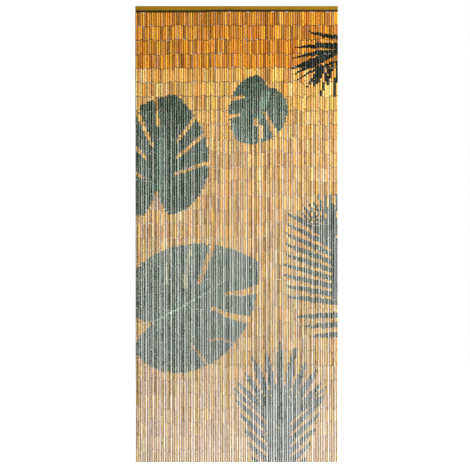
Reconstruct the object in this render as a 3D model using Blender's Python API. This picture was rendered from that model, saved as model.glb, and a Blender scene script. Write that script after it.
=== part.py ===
"""A bamboo door curtain: a painted wood rail with 89 strands of sawn bamboo tubes hung below it.

Metres, +Z up. X runs along the rail and -Y is the front. The origin is the middle of the rail's
top face, which goes against the head of the doorway. The strands hang down from there.
"""

import math

import bmesh
import bpy

# Driving sizes of the whole curtain
CURTAIN_WIDTH = 0.900
CURTAIN_DROP = 2.027
AIR_GAP = 0.0003

# The rail is a sawn slat, taller at its left end. Each row: place along the rail, height there.
RAIL_DEPTH = 0.014
RAIL_EASED_EDGE = 0.0008
RAIL_HEIGHTS = (
    {"x": -0.450, "height": 0.0195},
    {"x": -0.170, "height": 0.0192},
    {"x": -0.100, "height": 0.0162},
    {"x": 0.250, "height": 0.0160},
    {"x": 0.450, "height": 0.0166},
)

# The narrow strip under the rail, which the strands are tied to
STRIP_HEIGHT = 0.0045
STRIP_DEPTH = 0.0060
TIE_WIDTH = 0.0030
TIE_DROP = 0.0015

# A strand: sawn tubes, linked end to end by wire eyes, and cut level at the bottom
STRANDS = 89
TUBE_LENGTH = 0.0590
LINK_GAP = 0.0039
LINK_WIDTH = 0.0030
LENGTH_SPREAD = 0.0014
STAINED_ROWS = 4
STAINED_WIDTH = 0.0094
BOTTOM_ROW = 31
FIFTH_ROW_WIDTH = 0.0089
BOTTOM_WIDTH = 0.0075
PLUMB_SPREAD = 0.0005

# How many neighbouring strands hang together, from left to right, and how far the clumps part
CLUMPS = (5, 5, 3, 5, 2, 5, 6, 4, 2, 6, 3, 8, 7, 7, 4, 3, 3, 5, 6)
CLUMP_PARTING = 0.0014
PARTING_A_STAINED_ROW = 0.15

PITCH = (CURTAIN_WIDTH - STAINED_WIDTH) / (STRANDS - 1)


def chance(strand, row):
    """A fixed value from -1 to 1 for one tube, so that no two strands are alike."""
    wave = math.sin(strand * 12.9898 + row * 78.233) * 43758.5453
    return 2 * (wave - math.floor(wave)) - 1


def rail_height(x):
    """The rail's height at a place along it, on the straight lines between its stations."""
    for left, right in zip(RAIL_HEIGHTS, RAIL_HEIGHTS[1:]):
        if x <= right["x"]:
            share = (x - left["x"]) / (right["x"] - left["x"])
            return left["height"] + share * (right["height"] - left["height"])
    return RAIL_HEIGHTS[-1]["height"]


def strip_underside(x):
    return -rail_height(x) - AIR_GAP - STRIP_HEIGHT


def strand_x(strand):
    return (strand - (STRANDS - 1) / 2) * PITCH


def tube_width(row):
    """The stained top rows are thick tubes. Below them the tubes get thinner, row by row."""
    if row < STAINED_ROWS:
        return STAINED_WIDTH
    share = (row - STAINED_ROWS) / (BOTTOM_ROW - STAINED_ROWS)
    return FIFTH_ROW_WIDTH + share * (BOTTOM_WIDTH - FIFTH_ROW_WIDTH)


def clump_shifts():
    """How far each strand hangs towards the middle of its clump, below the stained rows."""
    shifts = []
    for count in CLUMPS:
        for place in range(count):
            shifts.append(CLUMP_PARTING * (0.5 - (place + 0.5) / count))
    return shifts


def material(name, colour, roughness):
    made = bpy.data.materials.new(name)
    made.use_nodes = True
    shader = made.node_tree.nodes["Principled BSDF"]
    shader.inputs["Base Color"].default_value = (*colour, 1.0)
    shader.inputs["Roughness"].default_value = roughness
    shader.inputs["Metallic"].default_value = 0.0
    return made


def add_node(name, mesh, finish):
    """An object for a finished bmesh."""
    data = bpy.data.meshes.new(name)
    mesh.to_mesh(data)
    mesh.free()
    data.materials.append(finish)
    made = bpy.data.objects.new(name, data)
    bpy.context.scene.collection.objects.link(made)
    return made


def build_rail(finish):
    """The slat: its front outline, pushed back through its depth, with eased edges."""
    front = -RAIL_DEPTH / 2
    outline = [(CURTAIN_WIDTH / 2, 0.0), (-CURTAIN_WIDTH / 2, 0.0)]
    outline += [(station["x"], -station["height"]) for station in RAIL_HEIGHTS]
    mesh = bmesh.new()
    face = mesh.faces.new([mesh.verts.new((x, front, z)) for x, z in outline])
    pushed = bmesh.ops.extrude_face_region(mesh, geom=[face])["geom"]
    corners = [item for item in pushed if isinstance(item, bmesh.types.BMVert)]
    bmesh.ops.translate(mesh, vec=(0.0, RAIL_DEPTH, 0.0), verts=corners)
    bmesh.ops.recalc_face_normals(mesh, faces=mesh.faces)
    rail = add_node("rail", mesh, finish)
    bevel = rail.modifiers.new("eased edges", "BEVEL")
    bevel.width = RAIL_EASED_EDGE
    bevel.segments = 2
    bevel.limit_method = "ANGLE"
    bevel.angle_limit = math.radians(40)


def strip_blank(mesh):
    """The strip, cut across at both sides of each tie. Returns the faces that the ties grow from."""
    stations = []
    for strand in range(STRANDS):
        stations += [strand_x(strand) - TIE_WIDTH / 2, strand_x(strand) + TIE_WIDTH / 2]
    stations = [-CURTAIN_WIDTH / 2 + AIR_GAP, *stations, CURTAIN_WIDTH / 2 - AIR_GAP]
    rings = []
    for x in stations:
        low, half = strip_underside(x), STRIP_DEPTH / 2
        section = ((-half, low), (half, low), (half, low + STRIP_HEIGHT), (-half, low + STRIP_HEIGHT))
        rings.append([mesh.verts.new((x, y, z)) for y, z in section])
    mesh.faces.new(rings[0])
    mesh.faces.new(reversed(rings[-1]))
    roots = []
    for span, (left, right) in enumerate(zip(rings, rings[1:])):
        for side in range(4):
            ahead = (side + 1) % 4
            face = mesh.faces.new((left[side], right[side], right[ahead], left[ahead]))
            if side == 0 and span % 2 == 1:
                roots.append(face)
    bmesh.ops.recalc_face_normals(mesh, faces=mesh.faces)
    return roots


def strand_rings(strand, shift):
    """The (x, y, z, width) of each square ring of a strand, from its tie to its cut end.

    The joints between the stained rows are notched. The rest of the strand is one tapered rod.
    """
    x, y = strand_x(strand), PLUMB_SPREAD * chance(strand, BOTTOM_ROW + 1)
    level = strip_underside(x) - TIE_DROP
    rings = []
    for row in range(STAINED_ROWS):
        width = tube_width(row)
        hung_x = x + shift * PARTING_A_STAINED_ROW * row
        end = level - TUBE_LENGTH - LENGTH_SPREAD * chance(strand, row)
        rings.append((hung_x, y, level, width))
        rings.append((hung_x, y, end, width))
        rings.append((hung_x, y, end - LINK_GAP / 2, LINK_WIDTH))
        level = end - LINK_GAP
    rings.append((x + shift, y, level, tube_width(STAINED_ROWS)))
    rings.append((x + shift, y, -CURTAIN_DROP, tube_width(BOTTOM_ROW)))
    return rings


def set_ring(face, ring):
    """Moves a face's four corners onto a square ring."""
    x, y, z, width = ring
    middle = face.calc_center_median()
    for corner in face.verts:
        side_x = math.copysign(width / 2, corner.co.x - middle.x)
        side_y = math.copysign(width / 2, corner.co.y - middle.y)
        corner.co = (x + side_x, y + side_y, z)


def build_strands(finish):
    """All the strands, grown down out of the strip that they are tied to."""
    mesh = bmesh.new()
    roots = strip_blank(mesh)
    shifts = clump_shifts()
    for strand, face in enumerate(roots):
        for ring in strand_rings(strand, shifts[strand]):
            face = bmesh.ops.extrude_discrete_faces(mesh, faces=[face])["faces"][0]
            set_ring(face, ring)
    add_node("strands", mesh, finish)


def main():
    for item in list(bpy.data.objects):
        bpy.data.objects.remove(item)
    build_rail(material("mustard paint", (0.36, 0.21, 0.012), 0.45))
    build_strands(material("bamboo", (0.60, 0.36, 0.13), 0.40))


main()
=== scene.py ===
import math

import bmesh
import bpy
import mathutils
import numpy as np
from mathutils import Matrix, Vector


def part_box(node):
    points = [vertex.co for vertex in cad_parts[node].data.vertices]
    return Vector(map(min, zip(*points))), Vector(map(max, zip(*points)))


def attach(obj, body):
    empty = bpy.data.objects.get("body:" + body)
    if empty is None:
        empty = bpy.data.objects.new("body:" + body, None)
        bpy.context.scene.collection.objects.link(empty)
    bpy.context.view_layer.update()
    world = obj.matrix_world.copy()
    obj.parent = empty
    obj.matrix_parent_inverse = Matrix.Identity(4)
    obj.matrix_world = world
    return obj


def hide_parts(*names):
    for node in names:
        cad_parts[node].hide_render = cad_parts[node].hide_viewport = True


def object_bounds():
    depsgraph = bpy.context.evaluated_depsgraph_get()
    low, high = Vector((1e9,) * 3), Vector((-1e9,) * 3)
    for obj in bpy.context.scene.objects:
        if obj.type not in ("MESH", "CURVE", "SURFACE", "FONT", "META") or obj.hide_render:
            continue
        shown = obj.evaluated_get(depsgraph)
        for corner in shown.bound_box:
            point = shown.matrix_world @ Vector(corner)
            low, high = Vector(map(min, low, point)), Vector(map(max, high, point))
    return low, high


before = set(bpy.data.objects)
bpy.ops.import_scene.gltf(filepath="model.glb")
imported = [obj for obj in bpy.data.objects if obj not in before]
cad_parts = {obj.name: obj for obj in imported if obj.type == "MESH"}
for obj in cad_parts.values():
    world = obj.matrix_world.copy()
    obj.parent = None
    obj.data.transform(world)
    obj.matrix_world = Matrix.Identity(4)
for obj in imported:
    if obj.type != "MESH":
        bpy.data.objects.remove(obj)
cad_low, cad_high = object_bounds()

# The rail
# A slat of sawn softwood, painted mustard by brush and rubbed bare in places along its top edges.
# It goes against the head of the doorway and carries all the strands. The solid's own shape is
# right, so it stays.
MUSTARD = (0.300, 0.175, 0.004, 1.0)
MUSTARD_THIN = (0.220, 0.122, 0.004, 1.0)
BARE_WOOD = (0.52, 0.33, 0.14, 1.0)
RUBBED_DEPTH = 0.0016
RUBBED_WIDTH = 0.0012
rail_low, rail_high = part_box("rail")


def join(tree, source, socket):
    """Links a socket to another one, or gives it a plain value."""
    if isinstance(source, bpy.types.NodeSocket):
        tree.links.new(source, socket)
    else:
        socket.default_value = source


def figure(tree, operation, *terms, clamp=False):
    """The result of one sum on sockets and plain numbers."""
    node = tree.nodes.new("ShaderNodeMath")
    node.operation = operation
    node.use_clamp = clamp
    for term, socket in zip(terms, node.inputs):
        join(tree, term, socket)
    return node.outputs[0]


def blend(tree, share, first, second, way="MIX"):
    """Mixes two colours by a share from 0 to 1."""
    node = tree.nodes.new("ShaderNodeMix")
    node.data_type = "RGBA"
    node.blend_type = way
    join(tree, share, node.inputs["Factor"])
    join(tree, first, node.inputs["A"])
    join(tree, second, node.inputs["B"])
    return node.outputs["Result"]


def stretched_noise(tree, stretch, scale, detail=2.0):
    """Noise on the piece's own place, drawn out along the axes where the stretch is small."""
    place = tree.nodes.new("ShaderNodeTexCoord")
    mapping = tree.nodes.new("ShaderNodeMapping")
    mapping.inputs["Scale"].default_value = stretch
    noise = tree.nodes.new("ShaderNodeTexNoise")
    noise.inputs["Scale"].default_value = scale
    noise.inputs["Detail"].default_value = detail
    tree.links.new(place.outputs["Object"], mapping.inputs["Vector"])
    tree.links.new(mapping.outputs["Vector"], noise.inputs["Vector"])
    return noise.outputs["Fac"]


def parts_of(tree, place):
    """The X, Y and Z parts of a place, by name."""
    node = tree.nodes.new("ShaderNodeSeparateXYZ")
    tree.links.new(place, node.inputs["Vector"])
    return node.outputs


def between(tree, source, low, high, to_low=0.0, to_high=1.0):
    """Brings a value from one range to another, and holds it there."""
    node = tree.nodes.new("ShaderNodeMapRange")
    node.clamp = True
    join(tree, source, node.inputs["Value"])
    for name, end in zip(("From Min", "From Max", "To Min", "To Max"), (low, high, to_low, to_high)):
        join(tree, end, node.inputs[name])
    return node.outputs["Result"]


def new_finish(name):
    """An empty material with its shader, ready for its nodes."""
    finish = bpy.data.materials.new(name)
    finish.use_nodes = True
    return finish, finish.node_tree, finish.node_tree.nodes["Principled BSDF"]


def raise_surface(tree, shader, height, strength, depth):
    """Gives a surface a fine relief from a height."""
    bump = tree.nodes.new("ShaderNodeBump")
    bump.inputs["Strength"].default_value = strength
    bump.inputs["Distance"].default_value = depth
    tree.links.new(height, bump.inputs["Height"])
    tree.links.new(bump.outputs["Normal"], shader.inputs["Normal"])


def mustard_paint():
    """Brushed paint: streaks along the rail, thin patches, and wood showing at the rubbed edges."""
    finish, tree, shader = new_finish("mustard_paint")
    streaks = stretched_noise(tree, (0.03, 1.0, 1.0), 420.0, 4.0)
    patches = stretched_noise(tree, (0.25, 1.0, 1.0), 26.0, 3.0)
    chips = stretched_noise(tree, (0.4, 1.0, 1.0), 160.0, 5.0)
    place = parts_of(tree, tree.nodes.new("ShaderNodeTexCoord").outputs["Object"])
    thin_streaks = between(tree, streaks, 0.42, 0.68)
    thin = figure(tree, "MULTIPLY", thin_streaks, between(tree, patches, 0.3, 0.7))
    top_edge = between(tree, place["Z"], -RUBBED_DEPTH, 0.0)
    from_middle = figure(tree, "ABSOLUTE", place["Y"])
    side_edge = between(tree, from_middle, rail_high.y - RUBBED_WIDTH, rail_high.y)
    rubbed = figure(tree, "MULTIPLY", top_edge, side_edge)
    worn = figure(tree, "MULTIPLY", rubbed, between(tree, chips, 0.48, 0.6), clamp=True)
    colour = blend(tree, thin, MUSTARD, MUSTARD_THIN)
    colour = blend(tree, worn, colour, BARE_WOOD)
    tree.links.new(colour, shader.inputs["Base Color"])
    tree.links.new(between(tree, streaks, 0.3, 0.7, 0.50, 0.68), shader.inputs["Roughness"])
    shader.inputs["Specular IOR Level"].default_value = 0.12
    raise_surface(tree, shader, streaks, 0.35, 0.0004)
    return finish


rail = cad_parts["rail"]
rail.data.materials.clear()
rail.data.materials.append(mustard_paint())

# The hanging lath
# A narrow lath held close under the rail. It follows the rail's sawn underside, which is lower
# at the left end. Its near-black stain is real stain and painted shade: it stands in for the
# rail's shadow as the dark line above the first tubes.
LATH_HEIGHT = 0.0078
LATH_DEPTH = 0.0060
LATH_GAP = 0.0003
LATH_EASED_EDGE = 0.0006
# Near-black: the lath's own stain, and painted shade for the rail's shadow on it
LATH_STAIN_AND_SHADE = (0.016, 0.008, 0.003, 1.0)
LATH_GRAIN = (0.06, 0.03, 0.010, 1.0)
RAIL_STATIONS = (
    {"x": -0.450, "height": 0.0195},
    {"x": -0.170, "height": 0.0192},
    {"x": -0.100, "height": 0.0162},
    {"x": 0.250, "height": 0.0160},
    {"x": 0.450, "height": 0.0166},
)


def rail_underside(x):
    """The height of the rail's underside at a place along it."""
    places = [station["x"] for station in RAIL_STATIONS]
    heights = [station["height"] for station in RAIL_STATIONS]
    return -float(np.interp(x, places, heights))


def lath_underside(x):
    """The height at which the strands' top tubes start, but for their own small drops."""
    return rail_underside(x) - LATH_GAP - LATH_HEIGHT


def deselect_all():
    """Leaves nothing selected, so that the next operator acts on its own piece alone."""
    bpy.ops.object.select_all(action="DESELECT")


def select_faces(piece, wanted):
    """Selects only the faces that a test picks, in edit mode."""
    bpy.ops.mesh.select_mode(type="FACE")
    bpy.ops.mesh.select_all(action="DESELECT")
    mesh = bmesh.from_edit_mesh(piece.data)
    for face in mesh.faces:
        face.select_set(wanted(face))
    bmesh.update_edit_mesh(piece.data)


def select_corners(piece, wanted):
    """Selects only the corners that a test picks, in edit mode, and what lies between them."""
    bpy.ops.mesh.select_mode(type="VERT")
    bpy.ops.mesh.select_all(action="DESELECT")
    mesh = bmesh.from_edit_mesh(piece.data)
    for corner in mesh.verts:
        corner.select_set(wanted(corner.co))
    mesh.select_flush_mode()
    bmesh.update_edit_mesh(piece.data)


def stained_and_shaded_wood():
    """Near-black stained wood, grained along the lath; its darkness is partly painted shade."""
    finish, tree, shader = new_finish("stained_and_shaded_lath")
    grain = stretched_noise(tree, (0.04, 1.0, 1.0), 600.0, 4.0)
    colour = blend(tree, between(tree, grain, 0.35, 0.65), LATH_STAIN_AND_SHADE, LATH_GRAIN)
    tree.links.new(colour, shader.inputs["Base Color"])
    tree.links.new(between(tree, grain, 0.3, 0.7, 0.55, 0.75), shader.inputs["Roughness"])
    shader.inputs["Specular IOR Level"].default_value = 0.15
    raise_surface(tree, shader, grain, 0.4, 0.0003)
    return finish


def hanging_lath():
    """The lath, bent at the rail's stations to follow its underside, with eased edges."""
    deselect_all()
    length = rail_high.x - rail_low.x - 2 * LATH_GAP
    bpy.ops.mesh.primitive_cube_add(size=1.0, location=(0.0, 0.0, -LATH_HEIGHT / 2))
    lath = bpy.context.active_object
    lath.name = "hanging_lath"
    lath.scale = (length, LATH_DEPTH, LATH_HEIGHT)
    bpy.ops.object.transform_apply(location=True, rotation=True, scale=True)
    bpy.ops.object.mode_set(mode="EDIT")
    for station in RAIL_STATIONS[1:-1]:
        bpy.ops.mesh.select_all(action="SELECT")
        bpy.ops.mesh.bisect(plane_co=(station["x"], 0.0, 0.0), plane_no=(1.0, 0.0, 0.0))
    for station in RAIL_STATIONS:
        select_corners(lath, lambda place, x=station["x"]: abs(place.x - x) < 0.001)
        drop = -station["height"] - LATH_GAP
        bpy.ops.transform.translate(value=(0.0, 0.0, drop))
    bpy.ops.object.mode_set(mode="OBJECT")
    bevel = lath.modifiers.new("eased edges", "BEVEL")
    bevel.width = LATH_EASED_EDGE
    bevel.segments = 2
    bevel.limit_method = "ANGLE"
    bpy.ops.object.modifier_apply(modifier=bevel.name)
    bpy.ops.object.shade_smooth_by_angle(angle=math.radians(35))
    lath.data.materials.append(stained_and_shaded_wood())
    return lath


lath = hanging_lath()
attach(lath, "root")
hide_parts("strands")

# The bamboo tubes
# Thin bamboo sawn into short tubes and strung end to end, 32 to a strand and 89 strands. The four
# top rows are stained amber. Below them the tubes get thinner and paler row by row.
# The leaves are painted on the hung strands, so their edges step where a strand has slipped since.
STRANDS = 89
ROWS = 32
STAINED_ROWS = 4
PITCH = 0.01012
STRANDS_A_PIECE = 10

# One tube as modelled, before it is sized for its row, and its links to the next
TUBE_SIDES = 10
TUBE_WIDTH = 0.0080
TUBE_LENGTH = 0.0590
TUBE_WALL = 0.0016
BORE_SHOWN = 0.0060
BORE_TAPER = 0.0002
RING_AT = 0.36
RING_BELOW = 0.0016
RING_ABOVE = 0.0012
RING_SWELL = 1.09
RINGED_SHARE = 0.14
LINK_GAP = 0.0039
NARROWEST_JOINT = 0.0002
JOINT_SPREAD = 0.0024

# The rows' widths, and how far tubes differ in length and width
STAINED_WIDTH = 0.0103
FIFTH_ROW_WIDTH = 0.0106
BOTTOM_WIDTH = 0.0088
WIDTH_SPREAD = (0.97, 1.02)
LENGTH_SPREAD = 0.0017
LENGTH_LIMIT = 0.0030
FIRST_TUBE_DROP = 0.0002
FIRST_TUBE_CUT = 0.0020
TOP_TUBE_SPREAD = 0.0022
TOP_TUBE_LIMIT = 0.0040
CURTAIN_FOOT = cad_low.z

# How the strands hang: some low, all in clumps, and gathered by ones, twos and threes. Where they
# gather, each second one hangs behind its neighbours.
TOP_SPREAD = 0.0004
LOW_HUNG_SHARE = 0.18
LOW_HUNG_DROP = 0.0030
CLUMPS = (5, 5, 3, 5, 2, 5, 6, 4, 2, 6, 3, 8, 7, 7, 4, 3, 3, 5, 6)
CLUMP_PARTING = 0.0010
PARTED_BY_ROW = 9
GATHERING = 0.00085
GATHERED_FROM_ROW = 9
GATHERED_TO_ROW = 24
GATHERED_AT_FOOT = 0.5
BEHIND_IN_STAIN = 0.0009
BEHIND_WHERE_GATHERED = 0.0021
BEHIND_AT_FOOT = 0.0005
STRAND_SWAY = 0.0002
ASIDE_SPREAD = 0.0002
DEPTH_SPREAD = 0.0003
LEAN_SPREAD = 0.0004

# How far the paint has slipped on a strand and on each of its tubes, and which rows are glossy
STRAND_SLIP = 0.0018
TUBE_SLIP = 0.0005
STAINED_GLOSS = 0.20
GLOSSY_FROM_ROW = 9

# The second draw is for how the strands gather and for the tubes' hues, the first for the rest
draw = np.random.default_rng(2027)
group_draw = np.random.default_rng(89)


def bamboo_tube(name, ringed):
    """One sawn tube, hanging down from the origin, with its wall and the mouths of its bore.

    A ringed one has the raised scar where a leaf sheath grew.
    """
    deselect_all()
    bpy.ops.mesh.primitive_cylinder_add(
        vertices=TUBE_SIDES,
        radius=TUBE_WIDTH / 2,
        depth=TUBE_LENGTH,
        end_fill_type="NGON",
        location=(0.0, 0.0, -TUBE_LENGTH / 2),
    )
    tube = bpy.context.active_object
    tube.name = name
    bpy.ops.object.transform_apply(location=True, rotation=True, scale=True)
    bpy.ops.object.mode_set(mode="EDIT")
    if ringed:
        ring = -RING_AT * TUBE_LENGTH
        for height in (ring - RING_BELOW, ring, ring + RING_ABOVE):
            bpy.ops.mesh.select_all(action="SELECT")
            bpy.ops.mesh.bisect(plane_co=(0.0, 0.0, height), plane_no=(0.0, 0.0, 1.0))
        select_corners(tube, lambda place: abs(place.z - ring) < 0.0002)
        bpy.ops.transform.resize(value=(RING_SWELL, RING_SWELL, 1.0))
    select_faces(tube, lambda face: abs(face.normal.z) > 0.9)
    bpy.ops.mesh.inset(thickness=TUBE_WALL, use_individual=True)
    bpy.ops.mesh.inset(thickness=BORE_TAPER, depth=-BORE_SHOWN, use_individual=True)
    bpy.ops.object.mode_set(mode="OBJECT")
    return tube


class Pattern:
    """The points, faces, bake places and finishes of one modelled shape, ready to be copied."""

    def __init__(self, piece):
        mesh = piece.data
        self.points = np.array([corner.co for corner in mesh.vertices])
        self.faces = [list(face.vertices) for face in mesh.polygons]
        self.finishes = [self.finish_of(face, mesh) for face in mesh.polygons]
        self.places = np.array(self.unrolled(mesh))
        bpy.data.objects.remove(piece)

    def finish_of(self, face, mesh):
        """0 for the outer skin and 1 for the sawn ends and the bore."""
        radius = math.hypot(face.center.x, face.center.y)
        on_skin = abs(face.normal.z) < 0.7 and radius > TUBE_WIDTH / 2 - TUBE_WALL / 2
        return 0 if on_skin else 1

    def unrolled(self, mesh):
        """Where each face corner lies in the copy's own cell: the skin unrolled between its ends."""
        places = []
        for face, finish in zip(mesh.polygons, self.finishes):
            middle = math.atan2(face.center.y, face.center.x)
            for index in face.vertices:
                point = mesh.vertices[index].co
                turn = math.atan2(point.y, point.x) - middle
                turn = (turn + math.pi) % (2 * math.pi) - math.pi
                around = (middle + turn) / (2 * math.pi) + 0.5
                down = -point.z / TUBE_LENGTH
                inward = 1 - math.hypot(point.x, point.y) / (TUBE_WIDTH / 2)
                if finish == 0:
                    places.append((around, 0.88 - 0.76 * down))
                elif down < 0.5:
                    places.append((around, 0.90 + 0.05 * inward + 0.4 * down))
                else:
                    places.append((around, 0.10 - 0.05 * inward - 0.4 * (1 - down)))
        return places


def tube_width(row):
    """The stained rows have one width. Below them the tubes get thinner, row by row."""
    if row < STAINED_ROWS:
        return STAINED_WIDTH
    return float(np.interp(row, (STAINED_ROWS, ROWS - 1), (FIFTH_ROW_WIDTH, BOTTOM_WIDTH)))


def row_gloss(row):
    """How glossy a row is: the stained tubes are dull, and the ones below them less and less so."""
    return float(np.interp(row, (STAINED_ROWS - 1, GLOSSY_FROM_ROW), (STAINED_GLOSS, 1.0)))


def clump_shifts():
    """How far each strand hangs towards the middle of its clump."""
    shifts = []
    for count in CLUMPS:
        for place in range(count):
            shifts.append(CLUMP_PARTING * (0.5 - (place + 0.5) / count))
    return shifts


def gathered_strands():
    """How far each strand hangs towards its near neighbours, and how much longer its top tube is."""
    gathered = []
    while len(gathered) < STRANDS:
        count = group_draw.integers(1, 4)
        longer = group_draw.normal(0.0, TOP_TUBE_SPREAD)
        longer = float(np.clip(longer, -TOP_TUBE_LIMIT, TOP_TUBE_LIMIT))
        for place in range(count):
            gathered.append({"aside": GATHERING * ((count - 1) / 2 - place), "longer": longer})
    return gathered[:STRANDS]


STAINED_SKINS = (
    {"share": 0.32, "colour": (0.70, 0.27, 0.016)},
    {"share": 0.22, "colour": (0.52, 0.17, 0.010)},
    {"share": 0.26, "colour": (0.84, 0.40, 0.024)},
    {"share": 0.11, "colour": (0.46, 0.20, 0.016)},
    {"share": 0.09, "colour": (0.30, 0.11, 0.005)},
)
NATURAL_SKINS = (
    {"share": 0.34, "colour": (0.74, 0.44, 0.086)},
    {"share": 0.20, "colour": (0.68, 0.34, 0.064)},
    {"share": 0.20, "colour": (0.78, 0.53, 0.160)},
    {"share": 0.14, "colour": (0.57, 0.34, 0.090)},
    {"share": 0.08, "colour": (0.42, 0.20, 0.040)},
    {"share": 0.04, "colour": (0.84, 0.66, 0.300)},
)
WEATHERED = np.array((0.57, 0.45, 0.29))
WEATHERED_AT_FOOT = 0.70
FRESH_BELOW_STAIN = 1.15
FRESH_TO_ROW = 9
SHADE_SPREAD = (0.79, 1.17)
HUE_SPREAD = (0.03, 0.03, 0.16)


def skin_colour(row):
    """The colour of one tube, drawn from its row's skins and paler towards the foot."""
    skins = STAINED_SKINS if row < STAINED_ROWS else NATURAL_SKINS
    shares = [skin["share"] for skin in skins]
    colour = np.array(skins[draw.choice(len(skins), p=shares)]["colour"])
    if row >= STAINED_ROWS:
        weathered = WEATHERED_AT_FOOT * (row - STAINED_ROWS) / (ROWS - STAINED_ROWS)
        colour = colour * (1 - weathered) + WEATHERED * weathered
        colour = colour * np.interp(row, (STAINED_ROWS, FRESH_TO_ROW), (FRESH_BELOW_STAIN, 1.0))
    return colour * draw.uniform(*SHADE_SPREAD) * group_draw.normal(1.0, HUE_SPREAD)


def strand_tubes(strand, shift, group):
    """The place, size, turn, colour and paint slip of each tube of a strand, from the top down."""
    x = (strand - (STRANDS - 1) / 2) * PITCH
    level = lath_underside(x) - FIRST_TUBE_DROP
    slip = draw.normal(0.0, STRAND_SLIP)
    level -= draw.uniform(0.0, TOP_SPREAD)
    sway = draw.uniform(-STRAND_SWAY, STRAND_SWAY)
    if draw.random() < LOW_HUNG_SHARE:
        level -= draw.uniform(0.0, LOW_HUNG_DROP)
    tubes = []
    for row in range(ROWS):
        extra = draw.normal(0.0, LENGTH_SPREAD)
        length = TUBE_LENGTH + float(np.clip(extra, -LENGTH_LIMIT, LENGTH_LIMIT))
        if row == 0:
            length += group["longer"] - FIRST_TUBE_CUT
        if row == ROWS - 1:
            length = level - CURTAIN_FOOT
        width = tube_width(row) * draw.uniform(*WIDTH_SPREAD)
        stretch = 0.0
        if row < ROWS - 1:
            stretch = LINK_GAP - NARROWEST_JOINT - JOINT_SPREAD * draw.random() ** 5
        stations = (STAINED_ROWS, GATHERED_FROM_ROW, GATHERED_TO_ROW, ROWS - 1)
        aside = group["aside"] * float(np.interp(row, stations, (0.0, 1.0, 1.0, GATHERED_AT_FOOT)))
        depths = (BEHIND_IN_STAIN, BEHIND_WHERE_GATHERED, BEHIND_WHERE_GATHERED, BEHIND_AT_FOOT)
        behind = float(np.interp(row, stations, depths)) * (-1) ** strand
        aside += shift * float(np.interp(row, (0, PARTED_BY_ROW), (0.0, 1.0)))
        tubes.append({
            "x": x + aside + draw.uniform(-ASIDE_SPREAD, ASIDE_SPREAD),
            "y": sway + behind + draw.uniform(-DEPTH_SPREAD, DEPTH_SPREAD),
            "top": level,
            "length": length + stretch,
            "width": width,
            "lean": draw.uniform(-LEAN_SPREAD, LEAN_SPREAD),
            "turn": draw.uniform(0, 2 * math.pi),
            "upside_down": draw.random() < 0.5,
            "ringed": draw.random() < RINGED_SHARE,
            "skin": skin_colour(row),
            "gloss": row_gloss(row),
            "grain": draw.random(),
            "slip": slip + draw.normal(0.0, TUBE_SLIP),
        })
        level -= length + LINK_GAP
    return tubes


def placed(points, tube):
    """A tube's points, turned about its length, sized, leaned a little and hung in its place."""
    size = tube["width"] / TUBE_WIDTH
    down = -points[:, 2] / TUBE_LENGTH
    if tube["upside_down"]:
        down = 1 - down
    cosine, sine = math.cos(tube["turn"]), math.sin(tube["turn"])
    side = -1 if tube["upside_down"] else 1
    x = (points[:, 0] * cosine - points[:, 1] * sine) * size
    y = (points[:, 0] * sine + points[:, 1] * cosine) * size * side
    return np.column_stack((
        tube["x"] + x + tube["lean"] * (down - 0.5),
        tube["y"] + y,
        tube["top"] - down * tube["length"],
    ))


def joined_piece(name, points, faces, finishes):
    """One object of the points and faces of many copies, with its finishes."""
    mesh = bpy.data.meshes.new(name)
    mesh.from_pydata(np.concatenate(points), [], faces)
    for finish in finishes:
        mesh.materials.append(finish)
    piece = bpy.data.objects.new(name, mesh)
    bpy.context.scene.collection.objects.link(piece)
    return piece


def face_outwards(piece):
    """Turns all the faces of a joined piece outwards, and leaves it selected."""
    deselect_all()
    piece.select_set(True)
    bpy.context.view_layer.objects.active = piece
    bpy.ops.object.mode_set(mode="EDIT")
    bpy.ops.mesh.select_all(action="SELECT")
    bpy.ops.mesh.normals_make_consistent(inside=False)
    bpy.ops.object.mode_set(mode="OBJECT")


# Each tube is unrolled into a cell of its own, with a margin round it
CELL_FILL = (0.94, 0.96)
CELL_MARGIN = (0.03, 0.02)


def panel_of_tubes(name, strands, patterns, finishes):
    """Joins the tubes of some neighbouring strands into one piece."""
    points, faces, slots, places, skins, marks, lies = [], [], [], [], [], [], []
    count = 0
    for column, tubes in enumerate(strands):
        for row, tube in enumerate(tubes):
            pattern = patterns["ringed" if tube["ringed"] else "plain"]
            points.append(placed(pattern.points, tube))
            faces += [[count + index for index in face] for face in pattern.faces]
            slots += pattern.finishes
            cell = pattern.places * CELL_FILL + CELL_MARGIN
            places.append((cell + (column, ROWS - 1 - row)) / (STRANDS_A_PIECE, ROWS))
            corners = len(pattern.points)
            skins.append(np.tile((*tube["skin"], tube["gloss"]), (corners, 1)))
            marks.append(np.tile((tube["slip"], tube["grain"], tube["x"]), (corners, 1)))
            lies.append(-pattern.points[:, 2] / TUBE_LENGTH)
            count += corners
    panel = joined_piece(name, points, faces, finishes)
    mesh = panel.data
    mesh.polygons.foreach_set("material_index", slots)
    unrolled = mesh.uv_layers.new(name="OFBake")
    unrolled.data.foreach_set("uv", np.concatenate(places).ravel())
    skin = mesh.attributes.new("skin", "FLOAT_COLOR", "POINT")
    skin.data.foreach_set("color", np.concatenate(skins).ravel())
    mark = mesh.attributes.new("mark", "FLOAT_VECTOR", "POINT")
    mark.data.foreach_set("vector", np.concatenate(marks).ravel())
    along = mesh.attributes.new("along", "FLOAT", "POINT")
    along.data.foreach_set("value", np.concatenate(lies))
    face_outwards(panel)
    bpy.ops.object.shade_smooth_by_angle(angle=math.radians(50))
    return panel


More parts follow.
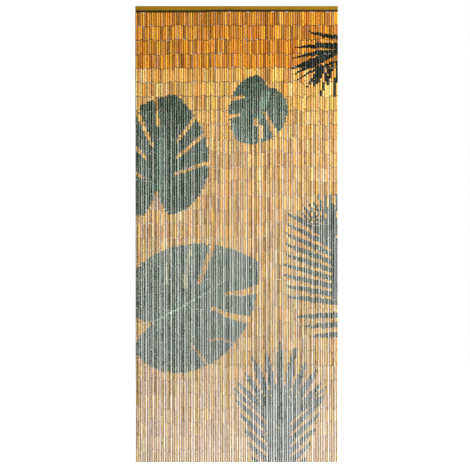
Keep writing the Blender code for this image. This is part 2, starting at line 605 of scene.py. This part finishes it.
def arrow(tree, operation, *terms):
    """The result of one sum on places in the curtain's own face."""
    node = tree.nodes.new("ShaderNodeVectorMath")
    node.operation = operation
    sockets = [node.inputs[0], node.inputs[1]]
    if operation == "SCALE":
        sockets = [node.inputs["Vector"], node.inputs["Scale"]]
    for term, socket in zip(terms, sockets):
        join(tree, term, socket)
    return node.outputs["Value" if operation in ("DOT_PRODUCT", "LENGTH") else "Vector"]


def seen_from(tree, spot, hub, facing):
    """How far each place lies from a hub, and its turn in radians from the way the hub faces."""
    from_hub = arrow(tree, "SUBTRACT", spot, (hub[0], 0.0, hub[1]))
    place = parts_of(tree, from_hub)
    bearing = figure(tree, "ARCTAN2", place["Z"], place["X"])
    turn = figure(tree, "SUBTRACT", bearing, math.radians(facing))
    turn = figure(tree, "WRAP", turn, math.pi, -math.pi)
    return arrow(tree, "LENGTH", from_hub), turn


def stroke(tree, spot, start, end, start_width, end_width):
    """1 within a straight stroke with round ends, which may taper, and 0 outside it."""
    run = (end[0] - start[0], 0.0, end[1] - start[1])
    reach = run[0] ** 2 + run[2] ** 2
    from_start = arrow(tree, "SUBTRACT", spot, (start[0], 0.0, start[1]))
    along = arrow(tree, "DOT_PRODUCT", from_start, run)
    share = figure(tree, "MULTIPLY", along, 1 / reach, clamp=True)
    nearest = arrow(tree, "SCALE", run, share)
    aside = arrow(tree, "LENGTH", arrow(tree, "SUBTRACT", from_start, nearest))
    half = figure(tree, "MULTIPLY_ADD", share, (end_width - start_width) / 2, start_width / 2)
    return figure(tree, "LESS_THAN", aside, half)


# A split leaf's sides fall from its tip as spirals. Each slit runs from its mouth to its inner end,
# both given as a turn in degrees from the leaf's axis and a share of its length. It leaves the skin
# bare, unless it has a cut under 1, where paint went over it thinly, or a wash of paler paint.
SPLIT_LEAVES = (
    {
        "base": (-0.358, -0.804), "facing": 78, "length": 0.420,
        "paint": (0.006, 0.026, 0.011), "gloss": 0.82,
        "left_fall": (0.304, 0.025), "right_fall": (0.570, -0.048),
        "notch": {"turn": -168, "half": 8, "lobes": 16},
        "rib": {"width": 0.052, "from": 0.02, "to": 0.50, "turn": 6},
        "rib_paint": (0.035, 0.14, 0.08), "rib_strength": 0.55,
        "slits": (
            {"mouth": (23.8, 1.00), "inner": (26.9, 0.823), "widths": (0.024, 0.024)},
            {"mouth": (-17.6, 0.86), "inner": (-12.5, 0.53), "widths": (0.018, 0.013)},
            {"mouth": (-30.7, 0.77), "inner": (-22.8, 0.38), "widths": (0.019, 0.013)},
            {"mouth": (-53.0, 0.61), "inner": (-43.3, 0.25), "widths": (0.017, 0.013)},
            {"mouth": (12.0, 0.96), "inner": (10.1, 0.65), "widths": (0.016, 0.014)},
            {"mouth": (25.8, 0.78), "inner": (17.7, 0.45), "widths": (0.019, 0.014)},
            {"mouth": (40.2, 0.50), "inner": (31.5, 0.33), "widths": (0.017, 0.014)},
            {"mouth": (66.8, 0.30), "inner": (67.6, 0.18), "widths": (0.015, 0.013)},
        ),
    },
    {
        "base": (0.135, -0.373), "facing": 238, "length": 0.260,
        "paint": (0.029, 0.058, 0.038), "gloss": 1.0,
        "left_fall": (0.05, 0.361), "right_fall": (0.590, 0.0),
        "notch": {"turn": -155, "half": 4, "lobes": 36},
        "rib": {"width": 0.046, "from": 0.10, "to": 0.52, "turn": 17},
        "rib_paint": (0.17, 0.28, 0.18), "rib_strength": 0.55,
        "slits": (
            {"mouth": (-44.5, 0.69), "inner": (-41.9, 0.41), "widths": (0.024, 0.010)},
            {"mouth": (-23.0, 0.82), "inner": (-16.1, 0.62), "widths": (0.019, 0.011)},
            {"mouth": (11.7, 0.54), "inner": (15.0, 0.64), "widths": (0.011, 0.011)},
            {"mouth": (24.9, 0.96), "inner": (21.6, 0.63), "widths": (0.016, 0.014)},
            {"mouth": (42.7, 0.78), "inner": (27.7, 0.40), "widths": (0.027, 0.014)},
        ),
    },
    {
        "base": (-0.367, -1.403), "facing": 31, "length": 0.533,
        "paint": (0.066, 0.086, 0.068), "gloss": 1.0,
        "left_fall": (0.562, 0.0), "right_fall": (0.453, 0.0),
        "notch": {"turn": 166, "half": 21, "lobes": 14},
        "rib": {"width": 0.0080, "from": 0.0, "to": 0.54, "turn": -2.1},
        "rib_paint": (0.30, 0.42, 0.32), "rib_strength": 1.0,
        "slits": (
            {"mouth": (22.0, 0.83), "inner": (17.9, 0.67), "widths": (0.028, 0.022)},
            {"mouth": (17.9, 0.67), "inner": (9.7, 0.50), "widths": (0.022, 0.019)},
            {"mouth": (33.2, 0.69), "inner": (18.7, 0.40), "widths": (0.016, 0.024), "wash": 0.85},
            {"mouth": (48.3, 0.66), "inner": (39.5, 0.34), "widths": (0.020, 0.018), "wash": 0.70},
            {"mouth": (-13.7, 0.94), "inner": (-12.8, 0.79), "widths": (0.040, 0.029)},
            {"mouth": (-12.8, 0.79), "inner": (-9.7, 0.64), "widths": (0.029, 0.012)},
            {"mouth": (-30.2, 0.81), "inner": (-26.5, 0.63), "widths": (0.038, 0.024)},
            {"mouth": (-26.5, 0.63), "inner": (-16.6, 0.49), "widths": (0.024, 0.013)},
            {"mouth": (-46.7, 0.73), "inner": (-45.1, 0.58), "widths": (0.010, 0.010), "cut": 0.7},
            {"mouth": (-45.1, 0.58), "inner": (-48.8, 0.49), "widths": (0.010, 0.012), "cut": 0.7},
            {"mouth": (-70.0, 0.57), "inner": (-62.0, 0.36), "widths": (0.014, 0.010), "cut": 0.85},
        ),
    },
)


def along_leaf(leaf, turn, share):
    """The place at a turn from the leaf's rib and at a share of its length from its base."""
    bearing = math.radians(leaf["facing"] + turn)
    reach = leaf["length"] * share
    return (leaf["base"][0] + reach * math.cos(bearing), leaf["base"][1] + reach * math.sin(bearing))


def fallen(tree, turn, side, fall):
    """How far, as a power of e, a leaf's side has fallen at a turn. Its other side gives nothing."""
    away = figure(tree, "MAXIMUM", figure(tree, "MULTIPLY", turn, side), 0.0)
    return figure(tree, "MULTIPLY", away, figure(tree, "MULTIPLY_ADD", away, fall[1], fall[0]))


def split_leaf(tree, spot, leaf):
    """The share of paint of a broad split leaf: two spiral sides, a notched base and its slits."""
    distance, turn = seen_from(tree, spot, leaf["base"], leaf["facing"])
    left = fallen(tree, turn, 1, leaf["left_fall"])
    right = fallen(tree, turn, -1, leaf["right_fall"])
    fall = figure(tree, "MULTIPLY", figure(tree, "ADD", left, right), -1.0)
    reach = figure(tree, "MULTIPLY", figure(tree, "EXPONENT", fall), leaf["length"])
    from_notch = figure(tree, "SUBTRACT", turn, math.radians(leaf["notch"]["turn"]))
    from_notch = figure(tree, "ABSOLUTE", figure(tree, "WRAP", from_notch, math.pi, -math.pi))
    edge = math.radians(leaf["notch"]["half"])
    lobes = between(tree, from_notch, edge, edge + math.radians(leaf["notch"]["lobes"]))
    painted = figure(tree, "LESS_THAN", distance, figure(tree, "MULTIPLY", reach, lobes))
    washed = 0.0
    for slit in leaf["slits"]:
        mouth, inner = along_leaf(leaf, *slit["mouth"]), along_leaf(leaf, *slit["inner"])
        bare = stroke(tree, spot, mouth, inner, *slit["widths"])
        cut = 0.0 if "wash" in slit else slit.get("cut", 1.0)
        kept = figure(tree, "MULTIPLY_ADD", bare, -cut, 1.0)
        painted = figure(tree, "MULTIPLY", painted, kept)
        wash = figure(tree, "MULTIPLY", bare, slit.get("wash", 0.0))
        washed = figure(tree, "MAXIMUM", wash, washed)
    rib = leaf["rib"]
    foot = along_leaf(leaf, rib["turn"], rib["from"])
    head = along_leaf(leaf, rib["turn"], rib["to"])
    light = stroke(tree, spot, foot, head, rib["width"], rib["width"] / 2)
    return painted, washed, figure(tree, "MULTIPLY", light, leaf["rib_strength"])


# A fan's blades spread evenly from its hub, and get shorter on both sides of its longest one.
BLADES_RAGGED = 0.03
BLADE_TAPER = 1.8
FANS = (
    {
        "hub": (0.419, -1.084), "facing": 90, "arc": (-24, 47), "step": 6.6,
        "reach": 0.269, "shortening": 0.22, "solid": 0.40, "parted": 0.10, "droop": 0.15,
        "paint": (0.010, 0.016, 0.012),
    },
    {
        "hub": (0.193, -1.874), "facing": 90, "arc": (-56, 54), "step": 10.8,
        "reach": 0.384, "shortening": 0.36, "solid": 0.34, "parted": 0.06, "droop": 0.0,
        "paint": (0.062, 0.068, 0.062),
    },
)


def fan(tree, spot, shape):
    """1 within a fan of pointed blades, which part from each other away from their hub."""
    distance, turn = seen_from(tree, spot, shape["hub"], shape["facing"])
    share = figure(tree, "DIVIDE", distance, shape["reach"])
    if shape["droop"]:
        bend = figure(tree, "MULTIPLY_ADD", share, shape["droop"], 1 - shape["droop"])
        turn = figure(tree, "DIVIDE", turn, bend)
    shorter = figure(tree, "MULTIPLY_ADD", figure(tree, "ABSOLUTE", turn), -shape["shortening"], 1.0)
    share = figure(tree, "DIVIDE", share, shorter)
    blade = figure(tree, "ADD", figure(tree, "DIVIDE", turn, math.radians(shape["step"])), 0.5)
    ragged = figure(tree, "SINE", figure(tree, "MULTIPLY", figure(tree, "FLOOR", blade), 2.4))
    share = figure(tree, "MULTIPLY_ADD", ragged, BLADES_RAGGED, share)
    off_middle = figure(tree, "ABSOLUTE", figure(tree, "SUBTRACT", figure(tree, "FRACT", blade), 0.5))
    parted = between(tree, share, shape["solid"], shape["solid"] + 0.15, 0.51, 0.51 - shape["parted"])
    towards_tip = between(tree, share, shape["solid"] + 0.10, 1.0)
    narrowing = figure(tree, "POWER", towards_tip, BLADE_TAPER)
    width = figure(tree, "MULTIPLY_ADD", narrowing, shape["parted"] - 0.49, parted)
    inside = figure(tree, "LESS_THAN", off_middle, width)
    first, last = (math.radians(end) for end in shape["arc"])
    inside = figure(tree, "MULTIPLY", inside, figure(tree, "GREATER_THAN", turn, first))
    inside = figure(tree, "MULTIPLY", inside, figure(tree, "LESS_THAN", turn, last))
    return figure(tree, "MULTIPLY", inside, figure(tree, "LESS_THAN", share, 1.0))


# The dark palm at the top right is cut by the curtain's edge. Its blades spread from a hub beyond
# that edge and taper in one or two runs, and a bare line parts the hanging ones from the others.
DARK_BLADES = (
    {"from": (0.486, -0.178), "to": (0.357, -0.176), "widths": (0.033, 0.024)},
    {"from": (0.357, -0.177), "to": (0.257, -0.186), "widths": (0.021, 0.004)},
    {"from": (0.486, -0.204), "to": (0.348, -0.210), "widths": (0.027, 0.023)},
    {"from": (0.348, -0.211), "to": (0.245, -0.233), "widths": (0.021, 0.004)},
    {"from": (0.442, -0.211), "to": (0.335, -0.249), "widths": (0.027, 0.036)},
    {"from": (0.335, -0.251), "to": (0.237, -0.279), "widths": (0.032, 0.004)},
    {"from": (0.362, -0.253), "to": (0.295, -0.282), "widths": (0.022, 0.016)},
    {"from": (0.295, -0.284), "to": (0.255, -0.303), "widths": (0.013, 0.004)},
    {"from": (0.362, -0.271), "to": (0.268, -0.331), "widths": (0.012, 0.005)},
    {"from": (0.366, -0.275), "to": (0.315, -0.360), "widths": (0.018, 0.006)},
    {"from": (0.379, -0.258), "to": (0.346, -0.346), "widths": (0.022, 0.018)},
    {"from": (0.397, -0.253), "to": (0.364, -0.338), "widths": (0.011, 0.009)},
    {"from": (0.415, -0.240), "to": (0.373, -0.400), "widths": (0.012, 0.008)},
    {"from": (0.428, -0.249), "to": (0.402, -0.346), "widths": (0.016, 0.012)},
    {"from": (0.446, -0.249), "to": (0.435, -0.400), "widths": (0.014, 0.009)},
    {"from": (0.464, -0.231), "to": (0.450, -0.329), "widths": (0.011, 0.007)},
    {"from": (0.481, -0.195), "to": (0.468, -0.271), "widths": (0.022, 0.013)},
    {"from": (0.453, -0.138), "to": (0.379, -0.131), "widths": (0.020, 0.016)},
    {"from": (0.379, -0.131), "to": (0.322, -0.114), "widths": (0.016, 0.007)},
    {"from": (0.486, -0.135), "to": (0.453, -0.138), "widths": (0.016, 0.020)},
)
DARK_PAINT = (0.004, 0.010, 0.007)
DARK_GLOSS = 0.0
BARE_PARTING = {"from": (0.458, -0.218), "to": (0.379, -0.259), "widths": (0.017, 0.010)}

# A feather leaf's leaflets grow from its stem, and rise more steeply the higher they grow. The
# right one has a gap above its three lowest leaflets, so it is two groups.
LEAFLET_TAPER = 2.5
FEATHERS = (
    {
        "foot": (0.450, -1.4800), "rise": -0.09, "steepening": 0.30, "pitch": 0.0431,
        "lower_length": (0.090, 0.87), "upper_length": (0.300, 0.0), "bottom": 0.0, "top": 0.129,
        "core": 0.0, "core_from": 1.0, "fullness": (0.56, 0.20), "paint": (0.018, 0.026, 0.022),
    },
    {
        "foot": (0.450, -1.3359), "rise": 0.092, "steepening": 1.63, "pitch": 0.0338,
        "lower_length": (0.216, 0.30), "upper_length": (0.252, -0.10), "bottom": 0.0, "top": 0.304,
        "core": 0.032, "core_from": 0.03, "fullness": (0.66, 0.20), "paint": (0.018, 0.026, 0.022),
    },
    {
        "foot": (0.190, -2.1374), "rise": 0.85, "steepening": 0.3, "pitch": 0.0466,
        "lower_length": (0.112, 0.385), "upper_length": (0.215, 0.0), "bottom": -0.2, "top": 0.258,
        "core": 0.052, "core_from": -0.1, "fullness": (0.74, 0.36), "paint": (0.062, 0.068, 0.062),
    },
)


def feather(tree, spot, shape):
    """1 within a feather-shaped leaf, found from the place on the stem where its leaflet grows."""
    from_foot = arrow(tree, "SUBTRACT", spot, (shape["foot"][0], 0.0, shape["foot"][1]))
    place = parts_of(tree, from_foot)
    aside = figure(tree, "ABSOLUTE", place["X"])
    height = figure(tree, "MULTIPLY_ADD", aside, -shape["rise"], place["Z"])
    stem = figure(tree, "MULTIPLY_ADD", aside, shape["steepening"], 1.0)
    grown_at = figure(tree, "DIVIDE", height, stem)
    lower = figure(tree, "MULTIPLY_ADD", grown_at, shape["lower_length"][1], shape["lower_length"][0])
    upper = figure(tree, "MULTIPLY_ADD", grown_at, shape["upper_length"][1], shape["upper_length"][0])
    length = figure(tree, "MAXIMUM", figure(tree, "MINIMUM", lower, upper), 0.001)
    share = figure(tree, "DIVIDE", aside, length)
    leaflet = figure(tree, "FRACT", figure(tree, "DIVIDE", grown_at, shape["pitch"]))
    off_middle = figure(tree, "ABSOLUTE", figure(tree, "SUBTRACT", leaflet, 0.5))
    full, tip = shape["fullness"]
    narrowing = figure(tree, "POWER", share, LEAFLET_TAPER)
    width = figure(tree, "MULTIPLY_ADD", narrowing, (tip - full) / 2, full / 2)
    inside = figure(tree, "LESS_THAN", off_middle, width)
    inside = figure(tree, "MULTIPLY", inside, figure(tree, "LESS_THAN", share, 1.0))
    inside = figure(tree, "MULTIPLY", inside, figure(tree, "GREATER_THAN", grown_at, shape["bottom"]))
    core = figure(tree, "LESS_THAN", aside, shape["core"])
    core = figure(tree, "MULTIPLY", core, figure(tree, "GREATER_THAN", grown_at, shape["core_from"]))
    inside = figure(tree, "MAXIMUM", inside, core)
    below = figure(tree, "LESS_THAN", grown_at, shape["top"])
    return figure(tree, "MULTIPLY", inside, below)


THIN_WASH = (0.31, 0.29, 0.155, 1.0)


def dark_palm(tree, spot):
    """1 within the dark palm: all its blades, less the bare line that parts them."""
    palm = 0.0
    for blade in DARK_BLADES:
        inside = stroke(tree, spot, blade["from"], blade["to"], *blade["widths"])
        palm = figure(tree, "MAXIMUM", inside, palm)
    bare = stroke(tree, spot, BARE_PARTING["from"], BARE_PARTING["to"], *BARE_PARTING["widths"])
    return figure(tree, "MULTIPLY", palm, figure(tree, "SUBTRACT", 1.0, bare))


def painted_leaves(tree, spot):
    """Where each leaf is painted, its paint and its gloss, from the first leaf to the last."""
    layers = []
    for leaf in SPLIT_LEAVES:
        painted, washed, rib = split_leaf(tree, spot, leaf)
        paint = blend(tree, washed, (*leaf["paint"], 1.0), THIN_WASH)
        paint = blend(tree, rib, paint, (*leaf["rib_paint"], 1.0))
        layers.append((painted, paint, leaf["gloss"]))
    layers.append((dark_palm(tree, spot), (*DARK_PAINT, 1.0), DARK_GLOSS))
    layers += [(fan(tree, spot, shape), (*shape["paint"], 1.0), 1.0) for shape in FANS]
    layers += [(feather(tree, spot, shape), (*shape["paint"], 1.0), 1.0) for shape in FEATHERS]
    return layers


FIBRE_BROWN = (0.20, 0.09, 0.03, 1.0)
STAIN_BROWN = (0.12, 0.05, 0.018, 1.0)
RUBBED_PALE = (0.85, 0.62, 0.30, 1.0)
# Dirt and painted shade on the tubes near their ends, darkening the joints between them
END_GRIME_AND_SHADE = (0.060, 0.024, 0.008, 1.0)
SKIN_SHEEN = (1.0, 0.98, 0.92, 1.0)
PAINT_SHEEN = (0.88, 1.0, 0.86, 1.0)


def grime_and_shade_at_ends(tree, lie, gloss):
    """The share of dirt and painted shade near a tube's ends, reaching further along some fibres."""
    from_middle = figure(tree, "ABSOLUTE", figure(tree, "SUBTRACT", lie, 0.5))
    from_end = figure(tree, "SUBTRACT", 0.5, from_middle)
    runs = stretched_noise(tree, (1.0, 1.0, 0.02), 600.0)
    reach = between(tree, runs, 0.3, 0.7, 0.012, 0.070)
    depth = between(tree, gloss, 0.6, 1.0, 0.88, 0.60)
    return between(tree, from_end, 0.0, reach, depth, 0.0)


def carried(tree, name, output):
    """A value that each tube carries in its points."""
    node = tree.nodes.new("ShaderNodeAttribute")
    node.attribute_name = name
    return node.outputs[output]


def bamboo_skin():
    """Natural skin with its fibres and stains, and the painted leaves over it."""
    finish, tree, shader = new_finish("bamboo_skin")
    place = parts_of(tree, tree.nodes.new("ShaderNodeTexCoord").outputs["Object"])
    skin_gloss = carried(tree, "skin", "Alpha")
    marks = parts_of(tree, carried(tree, "mark", "Vector"))
    slip, grain, strand_middle = marks["X"], marks["Y"], marks["Z"]

    fibres = stretched_noise(tree, (1.0, 1.0, 0.025), 1500.0, 3.0)
    stains = stretched_noise(tree, (1.0, 1.0, 0.16), 240.0, 3.0)
    smudges = stretched_noise(tree, (1.0, 1.0, 0.5), 90.0, 2.0)
    fibred = between(tree, fibres, 0.35, 0.62, 0.0, 0.30)
    colour = blend(tree, fibred, carried(tree, "skin", "Color"), FIBRE_BROWN)
    colour = blend(tree, between(tree, stains, 0.60, 0.74, 0.0, 0.55), colour, STAIN_BROWN)
    rubbed = between(tree, smudges, 0.55, 0.75, 0.0, 0.30)
    colour = blend(tree, figure(tree, "MULTIPLY", rubbed, skin_gloss), colour, RUBBED_PALE)
    grime_and_shade = grime_and_shade_at_ends(tree, carried(tree, "along", "Fac"), skin_gloss)

    painted_at = tree.nodes.new("ShaderNodeCombineXYZ")
    join(tree, strand_middle, painted_at.inputs["X"])
    join(tree, figure(tree, "ADD", place["Z"], slip), painted_at.inputs["Z"])
    spot = painted_at.outputs["Vector"]
    tube_shade = between(tree, grain, 0.0, 1.0, 0.55, 1.45)
    shade = figure(tree, "ADD", tube_shade, between(tree, fibres, 0.3, 0.7, 0.35, -0.35))
    brushed = stretched_noise(tree, (1.0, 1.0, 0.06), 700.0, 3.0)
    thin = between(tree, brushed, 0.62, 0.72, 1.0, 0.35)
    painted_any = 0.0
    glossy = 0.0
    for painted, paint, gloss in painted_leaves(tree, spot):
        tint = blend(tree, 1.0, paint, shade, "MULTIPLY")
        colour = blend(tree, figure(tree, "MULTIPLY", painted, thin), colour, tint)
        painted_any = figure(tree, "MAXIMUM", painted, painted_any)
        glossy = figure(tree, "MAXIMUM", figure(tree, "MULTIPLY", painted, gloss), glossy)
    # Darkens the tubes near their ends: grime, and painted shade for the joints between tubes
    colour = blend(tree, grime_and_shade, colour, END_GRIME_AND_SHADE)
    tree.links.new(colour, shader.inputs["Base Color"])
    tree.links.new(between(tree, fibres, 0.3, 0.7, 0.26, 0.40), shader.inputs["Roughness"])
    sheen = between(tree, glossy, 0.0, 1.0, 0.42, 1.0)
    sheen = figure(tree, "MULTIPLY", sheen, skin_gloss)
    tree.links.new(sheen, shader.inputs["Specular IOR Level"])
    sheen_tint = blend(tree, painted_any, SKIN_SHEEN, PAINT_SHEEN)
    tree.links.new(sheen_tint, shader.inputs["Specular Tint"])
    tree.links.new(between(tree, glossy, 0.0, 1.0, 1.50, 1.56), shader.inputs["IOR"])
    raise_surface(tree, shader, fibres, 0.14, 0.0002)
    return finish


SAWN_DARK = (0.055, 0.025, 0.010, 1.0)
SAWN_PALE = (0.20, 0.11, 0.045, 1.0)


def sawn_end():
    """The sawn wood of a tube's ends and its bore, in dark and paler specks."""
    finish, tree, shader = new_finish("sawn_bamboo")
    specks = stretched_noise(tree, (1.0, 1.0, 1.0), 2400.0, 2.0)
    colour = blend(tree, between(tree, specks, 0.35, 0.65), SAWN_DARK, SAWN_PALE)
    tree.links.new(colour, shader.inputs["Base Color"])
    shader.inputs["Roughness"].default_value = 0.8
    raise_surface(tree, shader, specks, 0.4, 0.0002)
    return finish


tube_patterns = {
    "plain": Pattern(bamboo_tube("plain_tube", False)),
    "ringed": Pattern(bamboo_tube("ringed_tube", True)),
}
tube_finishes = (bamboo_skin(), sawn_end())
hung = zip(range(STRANDS), clump_shifts(), gathered_strands())
strands = [strand_tubes(strand, shift, group) for strand, shift, group in hung]
for first in range(0, STRANDS, STRANDS_A_PIECE):
    panel = panel_of_tubes(
        f"bamboo_strands_{first // STRANDS_A_PIECE + 1}",
        strands[first:first + STRANDS_A_PIECE],
        tube_patterns,
        tube_finishes,
    )
    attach(panel, "root")
    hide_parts("strands")

# The wire eyes
# A wire runs through each tube and is bent into an eye at both ends, and each eye is hooked into the
# next tube's. At the top the wire straddles the lath and is driven into the rail. Dull steel wire.
WIRE_RADIUS = 0.00050
EYE_RADIUS = 0.0013
EYE_REACH = 0.0029
EYE_IN_BORE = 0.0050
HANGER_SPREAD = 0.0036
HANGER_IN_RAIL = 0.0020
STRANDS_A_WIRE_PIECE = 30
STEEL = (0.10, 0.085, 0.07, 1.0)
TARNISH = (0.04, 0.025, 0.018, 1.0)


def long_link(name, sides):
    """A ring of wire in the XZ plane, with its top at the origin, drawn down to a long link."""
    deselect_all()
    bpy.ops.mesh.primitive_torus_add(
        major_segments=8,
        minor_segments=sides,
        major_radius=EYE_RADIUS,
        minor_radius=WIRE_RADIUS,
        location=(0.0, 0.0, -EYE_RADIUS - WIRE_RADIUS),
        rotation=(math.pi / 2, 0.0, 0.0),
    )
    link = bpy.context.active_object
    link.name = name
    bpy.ops.object.transform_apply(location=True, rotation=True, scale=True)
    middle = -EYE_RADIUS - WIRE_RADIUS
    bpy.ops.object.mode_set(mode="EDIT")
    select_corners(link, lambda place: place.z < middle - 0.0002)
    bpy.ops.transform.translate(value=(0.0, 0.0, -EYE_IN_BORE))
    bpy.ops.object.mode_set(mode="OBJECT")
    return link


def shape_arrays(piece):
    """The points and faces of a modelled piece, which is then put away."""
    points = np.array([corner.co for corner in piece.data.vertices])
    faces = [list(face.vertices) for face in piece.data.polygons]
    bpy.data.objects.remove(piece)
    return points, faces


def dull_steel():
    """Steel wire gone dull and brown in patches."""
    finish, tree, shader = new_finish("dull_steel_wire")
    patches = stretched_noise(tree, (1.0, 1.0, 1.0), 700.0, 3.0)
    colour = blend(tree, between(tree, patches, 0.4, 0.65), STEEL, TARNISH)
    tree.links.new(colour, shader.inputs["Base Color"])
    tree.links.new(between(tree, patches, 0.3, 0.7, 0.35, 0.6), shader.inputs["Roughness"])
    shader.inputs["Metallic"].default_value = 0.9
    return finish


def upper_eye(link_points, tube):
    """The points of the eye at a tube's top, which stands crosswise to the lower ones."""
    x, y, z = link_points.T
    return np.column_stack((tube["x"] - y, tube["y"] + x, tube["top"] + EYE_REACH + z))


def lower_eye(link_points, tube):
    """The points of the eye at a tube's foot."""
    x, y, z = link_points.T
    foot = tube["top"] - tube["length"]
    return np.column_stack((tube["x"] + x, tube["y"] - y, foot - EYE_REACH - z))


def hanger(link_points, tube):
    """The points of the wire that straddles the lath over a strand's top tube."""
    x, y, z = link_points.T
    upper = z > z.min() + EYE_IN_BORE / 2
    climb = rail_underside(tube["x"]) + HANGER_IN_RAIL - tube["top"]
    across = np.where(upper, x * HANGER_SPREAD / EYE_RADIUS, x)
    height = np.where(upper, z + climb, z + EYE_REACH)
    return np.column_stack((tube["x"] - y, across, tube["top"] + height))


def panel_of_wires(name, strands, link, finish):
    """Joins the wire eyes of some neighbouring strands, and their hangers, into one piece."""
    link_points, link_faces = link
    points, faces = [], []
    for tubes in strands:
        points.append(hanger(link_points, tubes[0]))
        points += [upper_eye(link_points, tube) for tube in tubes[1:]]
        points += [lower_eye(link_points, tube) for tube in tubes[:-1]]
    for number in range(len(points)):
        first = number * len(link_points)
        faces += [[first + index for index in face] for face in link_faces]
    panel = joined_piece(name, points, faces, (finish,))
    face_outwards(panel)
    bpy.ops.object.shade_smooth()
    return panel


eye = shape_arrays(long_link("wire_eye", 3))
wire_finish = dull_steel()
for first in range(0, STRANDS, STRANDS_A_WIRE_PIECE):
    wires = panel_of_wires(
        f"wire_eyes_{first // STRANDS_A_WIRE_PIECE + 1}",
        strands[first:first + STRANDS_A_WIRE_PIECE],
        eye,
        wire_finish,
    )
    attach(wires, "root")

# The studio
# The camera looks square on at the hung curtain, from the middle of its height. A white room lights
# it softly, with a tall soft box in front at the right and a weaker one behind at the right.
VIEW_WIDTH = 2.0873
VIEW_MIDDLE = (-0.0070, -1.0170)
CAMERA_DISTANCE = 8.0
SENSOR_WIDTH = 36.0
FLOOR_BELOW_CURTAIN = 0.08
FLOOR_SIZE = 14.0
ROOM_LIGHT = 0.095


def studio_floor():
    """A pale floor a little below the curtain's cut end, for the camera alone."""
    deselect_all()
    level = cad_low.z - FLOOR_BELOW_CURTAIN
    bpy.ops.mesh.primitive_plane_add(size=FLOOR_SIZE, location=(0.0, 0.0, level))
    floor = bpy.context.active_object
    floor.name = "studio_floor"
    finish, tree, shader = new_finish("pale_floor")
    shader.inputs["Base Color"].default_value = (0.95, 0.95, 0.95, 1.0)
    shader.inputs["Roughness"].default_value = 0.9
    shader.inputs["Emission Color"].default_value = (1.0, 1.0, 1.0, 1.0)
    shader.inputs["Emission Strength"].default_value = 1.0
    floor.data.materials.append(finish)
    floor.visible_diffuse = False
    floor.visible_glossy = False


def soft_lamp(name, place, width, height, power):
    """A soft box that faces the middle of the curtain."""
    lamp = bpy.data.lights.new(name, "AREA")
    lamp.shape = "RECTANGLE"
    lamp.size = width
    lamp.size_y = height
    lamp.energy = power
    holder = bpy.data.objects.new(name, lamp)
    bpy.context.scene.collection.objects.link(holder)
    holder.location = place
    towards = mathutils.Vector((0.0, 0.0, VIEW_MIDDLE[1])) - mathutils.Vector(place)
    holder.rotation_euler = towards.to_track_quat("-Z", "Y").to_euler()


def white_room():
    """Soft white light from all round, with plain white behind the curtain for the camera."""
    world = bpy.data.worlds.new("white_room")
    world.use_nodes = True
    tree = world.node_tree
    tree.nodes.clear()
    soft = tree.nodes.new("ShaderNodeBackground")
    soft.inputs["Strength"].default_value = ROOM_LIGHT
    white = tree.nodes.new("ShaderNodeBackground")
    white.inputs["Strength"].default_value = 1.0
    for light in (soft, white):
        light.inputs["Color"].default_value = (1.0, 1.0, 1.0, 1.0)
    path = tree.nodes.new("ShaderNodeLightPath")
    both = tree.nodes.new("ShaderNodeMixShader")
    out = tree.nodes.new("ShaderNodeOutputWorld")
    tree.links.new(path.outputs["Is Camera Ray"], both.inputs[0])
    tree.links.new(soft.outputs["Background"], both.inputs[1])
    tree.links.new(white.outputs["Background"], both.inputs[2])
    tree.links.new(both.outputs["Shader"], out.inputs["Surface"])
    bpy.context.scene.world = world


studio_floor()
white_room()
soft_lamp("key_lamp", (3.85, -3.95, -1.0), 4.0, 4.2, 705.0)
soft_lamp("back_lamp", (4.4, 3.6, -0.4), 2.6, 3.4, 240.0)

lens = bpy.data.cameras.new("camera")
lens.sensor_width = SENSOR_WIDTH
lens.lens = SENSOR_WIDTH * CAMERA_DISTANCE / VIEW_WIDTH
camera = bpy.data.objects.new("camera", lens)
bpy.context.scene.collection.objects.link(camera)
camera.location = (VIEW_MIDDLE[0], cad_low.y - CAMERA_DISTANCE, VIEW_MIDDLE[1])
camera.rotation_euler = (math.pi / 2, 0.0, 0.0)
bpy.context.scene.camera = camera
bpy.context.scene.view_settings.view_transform = "Standard"
bpy.context.scene.view_settings.look = "None"
